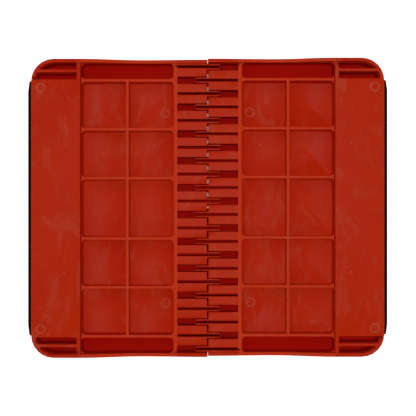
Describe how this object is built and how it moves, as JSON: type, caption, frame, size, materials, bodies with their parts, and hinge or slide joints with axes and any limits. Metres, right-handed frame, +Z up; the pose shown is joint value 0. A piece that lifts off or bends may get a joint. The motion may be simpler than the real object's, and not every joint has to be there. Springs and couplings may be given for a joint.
{
  "type": "folding crate panel",
  "caption": "Ribbed plastic crate panel in two halves that fold together on a long finger hinge, with raised ends and black edge strips.",
  "frame": {"origin": "on the floor under the middle of the open panel, on the hinge line", "axes": "+X towards the right half's end strip, +Y along the hinge towards the rear, +Z up out of the ribbed side"},
  "size_m": [0.357, 0.2976, 0.035],
  "materials": {
    "red_plastic": "semi-gloss moulded orange-red polypropylene with scuffs",
    "black_rubber": "matt black rubber",
    "steel": "bright drawn steel",
    "blackened_steel": "black oxide on steel"
  },
  "bodies": {
    "left": {"left_panel_half": "red_plastic", "left_end_cover": "red_plastic", "left_end_strip": "black_rubber", "left_strip_retainer": "steel", "left_foot_front": "black_rubber", "left_foot_rear": "black_rubber", "left_cover_screw_1": "steel", "left_cover_screw_2": "steel", "left_cover_screw_3": "steel", "left_cover_screw_4": "steel", "left_strip_screw_1": "steel", "left_strip_screw_2": "steel", "left_strip_screw_3": "steel", "left_strip_screw_4": "steel", "left_strip_screw_5": "steel", "hinge_pin_rear": "steel", "hinge_pin_front": "blackened_steel", "pin_plug_rear": "black_rubber"},
    "right": {"right_panel_half": "red_plastic", "right_end_cover": "red_plastic", "right_end_strip": "black_rubber", "right_strip_retainer": "steel", "right_foot_front": "black_rubber", "right_foot_rear": "black_rubber", "right_cover_screw_1": "steel", "right_cover_screw_2": "steel", "right_cover_screw_3": "steel", "right_cover_screw_4": "steel", "right_strip_screw_1": "steel", "right_strip_screw_2": "steel", "right_strip_screw_3": "steel", "right_strip_screw_4": "steel", "right_strip_screw_5": "steel", "pin_plug_front": "black_rubber"}
  },
  "joints": [
    {"name": "panel_fold", "type": "hinge", "parent": "left", "child": "right", "pos_m": [0, 0, 0.0045], "axis": [0, 1, 0], "range_deg": [0, 176]}
  ]
}
